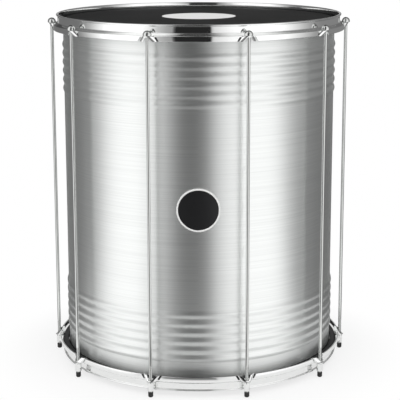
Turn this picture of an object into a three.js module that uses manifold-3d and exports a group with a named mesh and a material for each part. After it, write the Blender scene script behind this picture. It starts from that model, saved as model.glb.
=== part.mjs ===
// Surdo: a deep drum with a ridged metal shell and a head at each end. Ten long rods, outside the
// shell, pull two stamped hoops together. It stands on the rubber caps of its rods.
// Millimetres, +Z up, origin on the floor at the drum's axis, front towards -Y.

import * as THREE from 'three';
import { mergeVertices } from 'three/addons/utils/BufferGeometryUtils.js';
import Module from 'manifold-3d';

const wasm = await Module();
wasm.setup();

// Shell: rolled sheet with two groups of ridges
const shellRadius = 254;
const shellLength = 628;
const shellWall = 1.6;
const shellEdgeChamfer = 0.8;
const ridgeCount = 6;
const ridgePitch = 16.4;
const ridgeHeight = 2.2;
const ridgeCrest = 6;
const ridgeToEdge = 45.2;

// Heads: a skin over the shell's edge, lapped round a flesh hoop
const skinThickness = 1;
const skinChamfer = 0.6;
const skinShoulder = 2.4;
const rimProud = 9.7;
const fleshHoopWidth = 10.9;
const fleshHoopHeight = 10.4;

// Hoops: one pressed strip with a lip, a band, a sloping step and a skirt
const hoopWall = 2;
const bandClearOfSkin = 6.7;
const skirtClearance = 3.8;
const bandHeight = 15;
const stepHeight = 4;
const skirtHeight = 9.6;
const lipProud = 2.4;
const lipHeight = 3;
const lipRound = 0.8;

// Ears: hollow tongues pressed out of the skirt, with a flat seat for a rod
const rodClearance = 1.1;
const earReach = 5.6;
const earRootClearance = 0.5;
const earSeatDepth = 18.9;
const earTopHalfWidth = 10.5;
const earTopNose = 9.8;
const earFootHalfWidth = 15.5;
const earFootNose = 5.5;
const earFootSetback = 6.8;
const earFlare = 1.5;
const slitTopWidth = 2.5;
const slitFootWidth = 4.5;
const earMouthTopHalfWidth = 2.6;
const earMouthFootHalfWidth = 10.5;

// Rods, nuts and the small parts on them
const rodCount = 10;
const rodRadius = 3;
const rodHeadRadius = 7.6;
const rodHeadHeight = 9.2;
const rodHeadRim = 2.3;
const washerRadius = 7;
const washerThickness = 2.4;
const washerEdge = 0.8;
const washerFaceRadius = 5.2;
const nutAcrossFlats = 10;
const nutLength = 15;
const threadPitch = 1;
const nutTurns = 1.5;
const capLength = 9.4;
const capRadius = 4.55;
const capFootRadius = 3.2;
const capFootRound = 1.6;
const capFloor = 2.5;

// Badge: a plain round plate that follows the shell
const badgeRadius = 38.5;
const badgeThickness = 1.2;
const badgeRimWidth = 3.3;
const badgeRimProud = 0.8;
const badgeAboveMiddle = 3.3;

// Clearances, overrun of the cuts and the weld of shared points
const fitGap = 0.3;
const headSeatClearance = 0.6;
const overrun = 3;
const weld = 0.0001;

// Sides of the round forms and points of the curved ones
const roundSides = 40;
const smallSides = 8;
const badgeSides = 24;
const noseSteps = 4;
const domeSteps = 3;

// Sizes that follow
const skinInnerRadius = shellRadius + fitGap;
const skinOuterRadius = skinInnerRadius + skinThickness;
const fleshHoopInner = skinOuterRadius + fitGap;
const fleshHoopRadius = fleshHoopInner + fleshHoopWidth;
const bandRadius = skinOuterRadius + bandClearOfSkin + hoopWall;
const skirtRadius = fleshHoopRadius + skirtClearance + hoopWall;
const rodCircleRadius = skirtRadius + rodClearance + rodRadius;
const earRootRadius = fleshHoopRadius + earRootClearance;
const hoopHeight = bandHeight + stepHeight + skirtHeight;
const stepSlope = stepHeight / (skirtRadius - bandRadius);
const stepStretch = Math.hypot(1, stepSlope);
const shellEdgeDepth = rimProud + skinThickness + fitGap;
const washerTopDepth = earSeatDepth - fitGap;
const nutTopDepth = washerTopDepth - washerThickness - fitGap;
const nutTravel = nutTurns * threadPitch;
const nutBelowRim = nutLength - nutTopDepth;
const capTopBelowRim = nutBelowRim + nutTravel + fitGap;
const lowerRimHeight = capLength + capTopBelowRim;
const shellFoot = lowerRimHeight + shellEdgeDepth;
const shellTop = shellFoot + shellLength;
const upperRimHeight = shellTop + shellEdgeDepth;
const badgeHeight = (shellFoot + shellTop) / 2 + badgeAboveMiddle;

const finish = {
  shell: new THREE.MeshStandardMaterial({ color: 0xb9bab9, roughness: 0.34, metalness: 1 }),
  chrome: new THREE.MeshStandardMaterial({ color: 0xdfe1e2, roughness: 0.08, metalness: 1 }),
  lappedSkin: new THREE.MeshStandardMaterial({ color: 0x242426, roughness: 0.55, metalness: 0 }),
  skin: new THREE.MeshStandardMaterial({ color: 0x2c2c2e, roughness: 0.62, metalness: 0 }),
  rubber: new THREE.MeshStandardMaterial({ color: 0x17181a, roughness: 0.75, metalness: 0 }),
  badge: new THREE.MeshStandardMaterial({ color: 0x1b1c1a, roughness: 0.3, metalness: 0.2 }),
};

// Signed volume of an indexed closed geometry, positive when its faces point out
function signedVolume(geometry) {
  const position = geometry.getAttribute('position');
  const index = geometry.getIndex();
  const corners = [new THREE.Vector3(), new THREE.Vector3(), new THREE.Vector3()];
  let volume = 0;
  for (let i = 0; i < index.count; i += 3) {
    corners.forEach((corner, k) => corner.fromBufferAttribute(position, index.getX(i + k)));
    volume += corners[0].dot(corners[1].cross(corners[2])) / 6;
  }
  return volume;
}

// Welds the shared points, drops the triangles without area at an axis, and turns the faces out
function closedBody(geometry) {
  geometry.deleteAttribute('normal');
  geometry.deleteAttribute('uv');
  const body = mergeVertices(geometry, weld);
  const source = body.getIndex().array;
  const kept = [];
  for (let i = 0; i < source.length; i += 3) {
    const [a, b, c] = [source[i], source[i + 1], source[i + 2]];
    if (a !== b && b !== c && c !== a) kept.push(a, b, c);
  }
  body.setIndex(kept);
  if (signedVolume(body) < 0) body.setIndex(kept.reverse());
  return body;
}

function solidOf(geometry) {
  return new wasm.Manifold(new wasm.Mesh({
    numProp: 3,
    vertProperties: new Float32Array(geometry.getAttribute('position').array),
    triVerts: new Uint32Array(geometry.getIndex().array),
  }));
}

function geometryOf(solid) {
  const mesh = solid.getMesh();
  const geometry = new THREE.BufferGeometry();
  geometry.setAttribute('position', new THREE.BufferAttribute(mesh.vertProperties, 3));
  geometry.setIndex(new THREE.BufferAttribute(mesh.triVerts, 1));
  return geometry;
}

// Turns an outline of [radius, height] points about Z. It closes on itself unless it meets the axis.
function turned(outline, sides = roundSides) {
  const points = outline.map(([radius, height]) => new THREE.Vector2(radius, height));
  if (outline[0][0] !== 0) points.push(points[0].clone());
  const geometry = new THREE.LatheGeometry(points, sides);
  geometry.rotateX(Math.PI / 2);
  return closedBody(geometry);
}

// A solid between two outlines of [across, radius] points, at two heights, on the front of the drum.
// Both run anticlockwise and have as many points as each other.
function lofted(lower, lowerHeight, upper, upperHeight) {
  const count = lower.length;
  const positions = [
    ...lower.flatMap(([across, radius]) => [across, -radius, lowerHeight]),
    ...upper.flatMap(([across, radius]) => [across, -radius, upperHeight]),
  ];
  const contour = lower.map(([across, radius]) => new THREE.Vector2(across, radius));
  const cap = THREE.ShapeUtils.triangulateShape(contour, []);
  const faces = [];
  for (const [a, b, c] of cap) faces.push(a, b, c, count + a, count + c, count + b);
  for (let i = 0; i < count; i += 1) {
    const next = (i + 1) % count;
    faces.push(i, count + i, next, next, count + i, count + next);
  }
  const geometry = new THREE.BufferGeometry();
  geometry.setAttribute('position', new THREE.Float32BufferAttribute(positions, 3));
  geometry.setIndex(faces);
  return closedBody(geometry);
}

function rectangle(halfWidth, innerRadius, outerRadius) {
  return [
    [-halfWidth, innerRadius],
    [halfWidth, innerRadius],
    [halfWidth, outerRadius],
    [-halfWidth, outerRadius],
  ];
}

// An upright round cut on a rod's axis
function roundCut(radius, lowerHeight, upperHeight, sides) {
  const geometry = new THREE.CylinderGeometry(radius, radius, upperHeight - lowerHeight, sides);
  geometry.rotateX(Math.PI / 2);
  geometry.translate(0, -rodCircleRadius, (lowerHeight + upperHeight) / 2);
  return closedBody(geometry);
}

// Radius of a bore of flat sides that keeps the fit gap to a round part
function boreRadius(radius, sides) {
  return (radius + fitGap) / Math.cos(Math.PI / sides);
}

function rodAngle(station) {
  return ((station + 0.5) * 2 * Math.PI) / rodCount;
}

// Heights and offsets of one side of the shell's wall, from the lower edge to the upper one
function ridgedWall(radius, crest) {
  const points = [];
  const firstRidge = shellEdgeDepth + ridgeToEdge;
  const groups = [lowerRimHeight + firstRidge, upperRimHeight - firstRidge - (ridgeCount - 1) * ridgePitch];
  for (const group of groups) {
    points.push([radius, group - ridgePitch / 2]);
    for (let i = 0; i < ridgeCount; i += 1) {
      const centre = group + i * ridgePitch;
      points.push(...crest.map((offset) => [radius + ridgeHeight, centre + offset]));
      points.push([radius, centre + ridgePitch / 2]);
    }
  }
  return points;
}

function makeShell() {
  const inner = shellRadius - shellWall;
  const outerWall = ridgedWall(shellRadius, [-ridgeCrest / 2, ridgeCrest / 2]);
  const innerWall = ridgedWall(inner, [0]).reverse();
  const middleRadius = shellRadius - shellEdgeChamfer;
  return turned([
    [middleRadius, shellFoot],
    [shellRadius, shellFoot + shellEdgeChamfer],
    ...outerWall,
    [shellRadius, shellTop - shellEdgeChamfer],
    [middleRadius, shellTop],
    [inner, shellTop],
    ...innerWall,
    [inner, shellFoot],
  ]);
}

// Depth below the rim of the step's underside, or of a line that keeps a gap to it
function stepUnderside(radius, gap) {
  return bandHeight + (radius - bandRadius) * stepSlope + (hoopWall + gap) * stepStretch;
}

// The hoop and what it holds are drawn with the rim at height zero, and hang below it
function hoopStrip() {
  const bandInner = bandRadius - hoopWall;
  const skirtInner = skirtRadius - hoopWall;
  const lipRadius = bandRadius + lipProud;
  return turned([
    [bandInner + lipRound, 0],
    [lipRadius - lipRound, 0],
    [lipRadius, -lipRound],
    [bandRadius, -lipHeight],
    [bandRadius, -bandHeight],
    [skirtRadius, -bandHeight - stepHeight],
    [skirtRadius, -hoopHeight],
    [skirtInner, -hoopHeight],
    [skirtInner, -stepUnderside(skirtInner, 0)],
    [bandInner, -stepUnderside(bandInner, 0)],
    [bandInner, -lipRound],
  ]);
}

// Outline of an ear at one height: two root corners and a rounded nose
function earOutline(halfWidth, noseCentre, nose, rootRadius) {
  const points = [];
  for (let i = 0; i <= noseSteps; i += 1) {
    const angle = (i / noseSteps - 0.5) * Math.PI;
    points.push([-halfWidth * Math.sin(angle), noseCentre + nose * Math.cos(angle)]);
  }
  points.push([-halfWidth - earFlare, rootRadius], [halfWidth + earFlare, rootRadius]);
  return points;
}

// One ear at the front: the outer form less its hollow, the rod's hole and the open mouth
function makeEar() {
  const seat = -earSeatDepth;
  const underside = seat - hoopWall;
  const foot = -hoopHeight;
  const topCentre = rodCircleRadius + earReach - earTopNose;
  const footCentre = rodCircleRadius + earReach - earFootSetback - earFootNose;
  const hollowRoot = earRootRadius - overrun;
  const outer = lofted(
    earOutline(earFootHalfWidth, footCentre, earFootNose, earRootRadius), foot,
    earOutline(earTopHalfWidth, topCentre, earTopNose, earRootRadius), seat,
  );
  const hollow = lofted(
    earOutline(earFootHalfWidth - hoopWall, footCentre, earFootNose - hoopWall, hollowRoot), foot - overrun,
    earOutline(earTopHalfWidth - hoopWall, topCentre, earTopNose - hoopWall, hollowRoot), underside,
  );
  const mouthInner = footCentre;
  const mouthOuter = rodCircleRadius + earReach + overrun;
  const mouth = lofted(
    rectangle(earMouthFootHalfWidth, mouthInner, mouthOuter), foot - overrun,
    rectangle(earMouthTopHalfWidth, mouthInner, mouthOuter), underside,
  );
  const hole = roundCut(boreRadius(rodRadius, smallSides), underside - overrun, seat + overrun, smallSides);
  return solidOf(outer).subtract(solidOf(hollow)).subtract(solidOf(mouth)).subtract(solidOf(hole));
}

// The window that the ear was pressed out of, which leaves a slit on each side of it
function earWindow() {
  const inner = skirtRadius - hoopWall - overrun;
  const outer = skirtRadius + overrun;
  const top = -earSeatDepth - hoopWall;
  return lofted(
    rectangle(earFootHalfWidth + earFlare + slitFootWidth, inner, outer), -hoopHeight - overrun,
    rectangle(earTopHalfWidth + earFlare + slitTopWidth, inner, outer), top,
  );
}

function makeHoop() {
  const window = earWindow();
  const headSeat = roundCut(rodHeadRadius + headSeatClearance, -earSeatDepth, overrun, smallSides);
  const ear = geometryOf(makeEar());
  let hoop = solidOf(hoopStrip());
  for (let station = 0; station < rodCount; station += 1) {
    const angle = rodAngle(station);
    hoop = hoop
      .subtract(solidOf(window.clone().rotateZ(angle)))
      .subtract(solidOf(headSeat.clone().rotateZ(angle)))
      .add(solidOf(ear.clone().rotateZ(angle)));
  }
  return geometryOf(hoop);
}

// The flesh hoop fills the room between the skin's collar and the skirt, under the step
function makeFleshHoop() {
  const bandInner = bandRadius - hoopWall;
  const top = stepUnderside(bandInner, fitGap);
  const foot = top + fleshHoopHeight;
  return turned([
    [fleshHoopInner, -foot],
    [fleshHoopRadius, -foot],
    [fleshHoopRadius, -stepUnderside(fleshHoopRadius, fitGap)],
    [bandInner, -top],
    [fleshHoopInner, -top],
  ]);
}

// The skin lies across the shell's edge and its collar runs down inside the flesh hoop
function makeHead() {
  const foot = stepUnderside(bandRadius - hoopWall, fitGap) + fleshHoopHeight;
  const under = rimProud + skinThickness;
  return turned([
    [0, -rimProud],
    [skinOuterRadius - skinShoulder, -rimProud],
    [skinOuterRadius, -rimProud - skinShoulder],
    [skinOuterRadius, -foot],
    [skinInnerRadius, -foot],
    [skinInnerRadius, -under - skinChamfer],
    [skinInnerRadius - skinChamfer, -under],
    [0, -under],
  ]);
}

// Rod with a domed head, which sits on the upper hoop's ear. Height zero is the floor.
function makeRod() {
  const tip = capFloor + fitGap;
  const seat = upperRimHeight - earSeatDepth + fitGap;
  const outline = [
    [0, tip],
    [rodRadius, tip],
    [rodRadius, seat],
    [rodHeadRadius, seat],
  ];
  for (let i = 0; i <= domeSteps; i += 1) {
    const angle = (i / domeSteps) * (Math.PI / 2);
    const radius = i === domeSteps ? 0 : rodHeadRadius * Math.cos(angle);
    outline.push([radius, seat + rodHeadRim + (rodHeadHeight - rodHeadRim) * Math.sin(angle)]);
  }
  return turned(outline, smallSides);
}

// Cup washer between the nut and the lower hoop's ear
function makeWasher() {
  const bore = boreRadius(rodRadius, smallSides);
  const top = lowerRimHeight + washerTopDepth;
  const foot = top - washerThickness;
  return turned([
    [bore, foot],
    [washerFaceRadius, foot],
    [washerRadius, top - washerEdge],
    [washerRadius, top],
    [bore, top],
  ], smallSides);
}

// Long hexagonal tuning nut
function makeNut() {
  const hexagon = new THREE.Shape();
  const cornerRadius = nutAcrossFlats / 2 / Math.cos(Math.PI / 6);
  for (let i = 0; i < 6; i += 1) {
    const angle = (i * Math.PI) / 3;
    const move = i === 0 ? 'moveTo' : 'lineTo';
    hexagon[move](cornerRadius * Math.cos(angle), cornerRadius * Math.sin(angle));
  }
  hexagon.closePath();
  const bore = new THREE.Path();
  bore.absarc(0, 0, boreRadius(rodRadius, smallSides), 0, 2 * Math.PI, true);
  hexagon.holes.push(bore);
  const geometry = new THREE.ExtrudeGeometry(hexagon, {
    depth: nutLength, bevelEnabled: false, curveSegments: smallSides / 2,
  });
  geometry.translate(0, 0, lowerRimHeight - nutBelowRim);
  return closedBody(geometry);
}

// Rubber cap on the rod's threaded tip: the drum stands on these
function makeCap() {
  const bore = boreRadius(rodRadius, smallSides);
  return turned([
    [0, 0],
    [capFootRadius, 0],
    [capRadius, capFootRound],
    [capRadius, capLength],
    [bore, capLength],
    [bore, capFloor],
    [0, capFloor],
  ], smallSides);
}

// A ring of the shell's own curve, from one radius to another, cut to a disc that faces the front
function frontDisc(innerRadius, outerRadius, discRadius) {
  const low = badgeHeight - badgeRadius - overrun;
  const high = badgeHeight + badgeRadius + overrun;
  const ring = turned([[innerRadius, low], [outerRadius, low], [outerRadius, high], [innerRadius, high]]);
  const depth = outerRadius - Math.sqrt(innerRadius ** 2 - badgeRadius ** 2) + 2 * overrun;
  const disc = new THREE.CylinderGeometry(discRadius, discRadius, depth, badgeSides);
  disc.translate(0, depth / 2 - outerRadius - overrun, badgeHeight);
  return solidOf(ring).intersect(solidOf(closedBody(disc)));
}

function makeBadge() {
  const back = shellRadius + fitGap;
  const face = back + badgeThickness;
  const plate = frontDisc(back, face, badgeRadius);
  const rim = frontDisc(back, face + badgeRimProud, badgeRadius);
  const field = frontDisc(back - overrun, face + badgeRimProud + overrun, badgeRadius - badgeRimWidth);
  return geometryOf(rim.subtract(field).add(plate));
}

function piece(name, geometry, material) {
  const mesh = new THREE.Mesh(geometry, material.clone());
  mesh.name = name;
  return mesh;
}

// One end of the drum, with its rim at the given height; the lower end is the upper one turned over
function drumEnd(prefix, rimHeight, turn, shapes) {
  const end = new THREE.Group();
  end.position.z = rimHeight;
  end.rotation.x = turn;
  end.add(piece(`${prefix}_hoop`, shapes.hoop, finish.chrome));
  end.add(piece(`${prefix}_flesh_hoop`, shapes.fleshHoop, finish.lappedSkin));
  end.add(piece(`${prefix}_head`, shapes.head, finish.skin));
  return end;
}

// One rod with its washer, nut and cap, at its place on the rod circle
function rodStation(station, shapes) {
  const place = new THREE.Group();
  place.rotation.z = rodAngle(station);
  const line = new THREE.Group();
  line.position.y = -rodCircleRadius;
  const number = String(station + 1).padStart(2, '0');
  line.add(piece(`tension_rod_${number}`, shapes.rod, finish.chrome));
  line.add(piece(`cup_washer_${number}`, shapes.washer, finish.chrome));
  line.add(piece(`tuning_nut_${number}`, shapes.nut, finish.chrome));
  line.add(piece(`rubber_cap_${number}`, shapes.cap, finish.rubber));
  place.add(line);
  return place;
}

const endShapes = { hoop: makeHoop(), fleshHoop: makeFleshHoop(), head: makeHead() };
const rodShapes = { rod: makeRod(), washer: makeWasher(), nut: makeNut(), cap: makeCap() };

const surdo = new THREE.Group();
surdo.add(piece('shell', makeShell(), finish.shell));
surdo.add(drumEnd('top', upperRimHeight, 0, endShapes));
surdo.add(drumEnd('bottom', lowerRimHeight, Math.PI, endShapes));
for (let station = 0; station < rodCount; station += 1) {
  surdo.add(rodStation(station, rodShapes));
}
surdo.add(piece('badge', makeBadge(), finish.badge));

export default surdo;
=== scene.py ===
"""Surdo: a deep drum with a ridged aluminium shell, chromed hoops and black napa heads.

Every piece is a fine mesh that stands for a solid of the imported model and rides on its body. Lengths
are in metres, +Z is up, and a station's angle is measured from the front (-Y) towards +X.
"""
import logging
import math
from dataclasses import dataclass, field
from enum import Enum
from typing import Callable, ClassVar, Iterable, NamedTuple, Sequence, Union

import bmesh
import bpy
from mathutils import Matrix, Vector


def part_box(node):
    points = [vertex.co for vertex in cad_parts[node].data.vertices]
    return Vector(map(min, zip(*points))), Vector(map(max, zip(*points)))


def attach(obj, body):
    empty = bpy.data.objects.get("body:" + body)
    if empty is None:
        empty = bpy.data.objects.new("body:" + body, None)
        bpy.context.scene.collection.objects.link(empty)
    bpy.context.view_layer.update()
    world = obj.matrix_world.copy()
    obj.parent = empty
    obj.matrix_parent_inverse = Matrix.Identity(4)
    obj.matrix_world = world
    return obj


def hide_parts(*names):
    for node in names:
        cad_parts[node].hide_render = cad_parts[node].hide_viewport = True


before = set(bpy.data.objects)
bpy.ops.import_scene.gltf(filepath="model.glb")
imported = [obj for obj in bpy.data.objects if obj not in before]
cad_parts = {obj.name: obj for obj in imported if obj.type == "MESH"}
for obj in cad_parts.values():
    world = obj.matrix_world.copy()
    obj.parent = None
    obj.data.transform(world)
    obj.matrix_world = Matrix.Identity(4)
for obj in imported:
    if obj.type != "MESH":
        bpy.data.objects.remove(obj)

MM = 0.001
TURN = 2 * math.pi
ROD_COUNT = 10

# How far a flesh hoop and the collar in it stop short of their solids
FLESH_HOOP_RECESS = 5.5 * MM

# Distance within which points are one, and the bend above which an edge stays sharp
SAME_PLACE = 0.0005 * MM
SHARP_DEGREES = 34.0

log = logging.getLogger("surdo")


class Slot(Enum):
    """Material slots of the record."""

    SHELL = "shell_aluminium"
    HOOP = "hoop_chrome"
    ROD = "rod_chrome"
    FLESH_HOOP = "flesh_hoop_skin"
    HEAD = "napa_head"
    CAP = "cap_rubber"
    BADGE = "badge_enamel"


class End(Enum):
    """The two ends of the drum: the start of their node names and the sign of the way into the drum."""

    TOP = ("top", -1)
    BOTTOM = ("bottom", 1)

    def __init__(self, prefix: str, inward: int) -> None:
        """Keeps the two under their names."""
        self.prefix, self.inward = prefix, inward

    def rim(self) -> float:
        """Height of this end's rim in the frame."""
        low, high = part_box(f"{self.prefix}_hoop")
        return high.z if self is End.TOP else low.z


# Shader maths

Value = Union[float, tuple, "Flow"]


class Noise(NamedTuple):
    """Settings of a noise: its scale, one number or one for each axis, its detail and roughness."""

    scale: float | tuple
    detail: float = 2.0
    roughness: float = 0.5


class ShaderSheet:
    """The node tree of one material or world."""

    def __init__(self, tree: bpy.types.NodeTree) -> None:
        """Empties the tree and keeps it."""
        tree.nodes.clear()
        self.tree = tree

    def node(self, kind: str, settings: dict | None = None, stops: Sequence[tuple] = (),
             **inputs: Value) -> bpy.types.Node:
        """Makes one node.

        Args:
            kind: Node type without its ShaderNode prefix.
            settings: Properties to set first.
            stops: Places from 0 to 1 and grey levels of a ramp, in order.
            inputs: Values or links by socket name, with _ for a space, or in_N by number.

        Returns:
            The new node.
        """
        node = self.tree.nodes.new("ShaderNode" + kind)
        for name, value in (settings or {}).items():
            setattr(node, name, value)
        for place, _ in stops[2:]:
            node.color_ramp.elements.new(place)
        for index, (place, level) in enumerate(stops):
            element = node.color_ramp.elements[index]
            element.position = place
            element.color = (level, level, level, 1.0)
        for name, value in inputs.items():
            number = name.removeprefix("in_")
            socket = node.inputs[int(number) if number.isdigit() else name.replace("_", " ")]
            if isinstance(value, Flow):
                self.tree.links.new(value.socket, socket)
            elif isinstance(value, tuple) and len(value) == 3 and len(socket.default_value) == 4:
                socket.default_value = (*value, 1.0)
            else:
                socket.default_value = value
        return node

    def flow(self, kind: str, output: str | int = 0, **rest: object) -> "Flow":
        """One output of a new node, ready for shader maths."""
        return Flow(self, self.node(kind, **rest).outputs[output])

    def mix(self, factor: Value, first: Value, second: Value) -> "Flow":
        """Colour that goes from the first to the second as the factor goes from 0 to 1."""
        return self.flow("Mix", 2, settings={"data_type": "RGBA"}, in_0=factor, in_6=first, in_7=second)

    def place(self, kind: str = "Object") -> "Flow":
        """Texture place: Object or UV."""
        return self.flow("TexCoord", kind)

    def axis(self, vector: "Flow", index: int) -> "Flow":
        """One coordinate of a vector."""
        return self.flow("SeparateXYZ", index, Vector=vector)

    def noise(self, place: "Flow", kind: Noise) -> "Flow":
        """Noise about 0.5.

        Args:
            place: Texture place.
            kind: Settings of the noise.

        Returns:
            Its value.
        """
        scale, detail, roughness = kind
        if isinstance(scale, tuple):
            place = self.flow("VectorMath", settings={"operation": "MULTIPLY"}, in_0=place, in_1=scale)
            scale = 1.0
        return self.flow("TexNoise", "Fac", Vector=place, Scale=scale, Detail=detail, Roughness=roughness)

    def step(self, value: "Flow", low: float, high: float) -> "Flow":
        """Smooth step that is 0 at low and 1 at high, also where low is the larger."""
        settings = {"interpolation_type": "SMOOTHSTEP"}
        return self.flow("MapRange", settings=settings, Value=value, From_Min=low, From_Max=high)

    def bump(self, height: "Flow", distance: float, strength: float) -> "Flow":
        """Normal raised by a height from 0 to 1 times the distance."""
        return self.flow("Bump", Height=height, Distance=distance, Strength=strength)

    def seen(self, glossy_share: float = 1.0) -> "Flow":
        """1 where the camera looks, also through glass, and a share of it in reflections."""
        rays = self.node("LightPath").outputs
        camera, glossy, clear = (
            Flow(self, rays[f"Is {kind} Ray"]) for kind in ("Camera", "Glossy", "Transmission")
        )
        return camera.larger(glossy * glossy_share).larger(clear)

    def output(self, shader: "Flow", kind: str = "OutputMaterial") -> None:
        """Sends a shader to the output."""
        self.node(kind, Surface=shader)


@dataclass(frozen=True)
class Flow:
    """A socket that can stand in a sum."""

    sheet: ShaderSheet
    socket: bpy.types.NodeSocket

    def math(self, operation: str, first: Value, second: Value) -> "Flow":
        """Result of one Math node."""
        return self.sheet.flow("Math", settings={"operation": operation}, in_0=first, in_1=second)

    def __add__(self, other: Value) -> "Flow":
        """Sum."""
        return self.math("ADD", self, other)

    __radd__ = __add__

    def __sub__(self, other: Value) -> "Flow":
        """Difference."""
        return self.math("SUBTRACT", self, other)

    def __rsub__(self, other: Value) -> "Flow":
        """Reflected difference."""
        return self.math("SUBTRACT", other, self)

    def __mul__(self, other: Value) -> "Flow":
        """Product."""
        return self.math("MULTIPLY", self, other)

    __rmul__ = __mul__

    def __truediv__(self, other: Value) -> "Flow":
        """Quotient."""
        return self.math("DIVIDE", self, other)

    def __neg__(self) -> "Flow":
        """Opposite."""
        return self * -1.0

    def __pow__(self, other: Value) -> "Flow":
        """Power."""
        return self.math("POWER", self, other)

    def larger(self, other: Value) -> "Flow":
        """The larger of two values."""
        return self.math("MAXIMUM", self, other)

    def angle(self, other: Value) -> "Flow":
        """Angle whose tangent is this value over the other."""
        return self.math("ARCTAN2", self, other)

    def away(self, other: "Flow") -> "Flow":
        """Distance from the middle of the point with these two coordinates."""
        return (self ** 2.0 + other ** 2.0) ** 0.5

    def swing(self, amount: float) -> "Flow":
        """Swing about 0 by this amount, of a value from 0 to 1."""
        return (self - 0.5) * amount


# Finishes

class Finish:
    """Base of the finishes: makes its material once."""

    name: str
    made: ClassVar[dict] = {}

    def dress(self, sheet: ShaderSheet) -> Flow:
        """Makes the finish's nodes.

        Args:
            sheet: Node tree of the material.

        Returns:
            The shader.
        """
        raise NotImplementedError

    def material(self) -> bpy.types.Material:
        """The finish's material, made at its first use."""
        if self.name not in Finish.made:
            material = bpy.data.materials.new(self.name)
            material.use_nodes = True
            sheet = ShaderSheet(material.node_tree)
            sheet.output(self.dress(sheet))
            Finish.made[self.name] = material
        return Finish.made[self.name]


@dataclass(frozen=True)
class BrushedAluminium(Finish):
    """Aluminium sheet with fine brush lines round the shell and weld marks down its seam.

    The seam's start and end are lengths round the inside of the shell, from the front.
    """

    name: str = "brushed_aluminium"
    dark: tuple = (0.805, 0.82, 0.81)
    light: tuple = (0.93, 0.945, 0.935)
    light_range: tuple = (0.3, 0.7)
    roughness: float = 0.434
    line_swing: float = 0.10
    cloud_swing: float = 0.02
    spread: float = 0.75
    spread_turn: float = 0.25
    fine: Noise = Noise((4.0, 1900.0, 1.0), 3.0, 0.6)
    fine_share: float = 0.45
    streaks: Noise = Noise((3.0, 460.0, 1.0), 3.0, 0.6)
    clouds: Noise = Noise((6.0, 40.0, 1.0))
    line_depth: float = 0.012 * MM
    line_strength: float = 0.35
    seam_start: float = 74.9 * MM
    seam_end: float = 85.4 * MM
    seam_blur: float = 0.6 * MM
    weld_marks: Noise = Noise((150.0, 42.0, 1.0), 1.0)
    weld_range: tuple = (0.54, 0.66)
    weld_depth: float = 5.0

    def dress(self, sheet: ShaderSheet) -> Flow:
        """Brush lines vary colour, roughness and height, clouds the roughness, and welds mark the seam."""
        place = sheet.place("UV")
        fine, streaks, clouds, marks = (
            sheet.noise(place, noise) for noise in (self.fine, self.streaks, self.clouds, self.weld_marks)
        )
        lines = fine * self.fine_share + streaks * (1 - self.fine_share)
        across = sheet.axis(place, 0)
        seam = (
            sheet.step(across, self.seam_start, self.seam_start + self.seam_blur)
            * sheet.step(across, self.seam_end, self.seam_end - self.seam_blur)
        )
        welds = sheet.step(marks, *self.weld_range) * seam
        lightness = sheet.step(lines, *self.light_range) * (1 - welds)
        return sheet.flow(
            "BsdfPrincipled",
            Base_Color=sheet.mix(lightness, self.dark, self.light),
            Metallic=1.0,
            Roughness=self.roughness + lines.swing(self.line_swing) + clouds.swing(self.cloud_swing),
            Anisotropic=self.spread,
            Anisotropic_Rotation=self.spread_turn,
            Normal=sheet.bump(lines - welds * self.weld_depth, self.line_depth, self.line_strength),
        )


@dataclass(frozen=True)
class Chrome(Finish):
    """Plated steel: nearly a mirror, with the faint waviness of pressed sheet."""

    name: str = "polished_chrome"
    tint: tuple = (0.90, 0.905, 0.90)
    haze_tint: tuple = (0.84, 0.85, 0.85)
    haze: Noise = Noise(160.0, 4.0, 0.6)
    tint_range: tuple = (0.55, 0.8)
    rough_range: tuple = (0.5, 0.8)
    roughness: float = 0.05
    haze_roughness: float = 0.06
    waves: Noise = Noise(26.0, 1.0)
    wave_depth: float = 0.05 * MM
    wave_strength: float = 0.5

    def dress(self, sheet: ShaderSheet) -> Flow:
        """Waves bend the reflections and haze dulls them in small clouds."""
        place = sheet.place()
        waves, haze = sheet.noise(place, self.waves), sheet.noise(place, self.haze)
        return sheet.flow(
            "BsdfPrincipled",
            Base_Color=sheet.mix(sheet.step(haze, *self.tint_range), self.tint, self.haze_tint),
            Metallic=1.0,
            Roughness=self.roughness + sheet.step(haze, *self.rough_range) * self.haze_roughness,
            Normal=sheet.bump(waves, self.wave_depth, self.wave_strength),
        )


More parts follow.
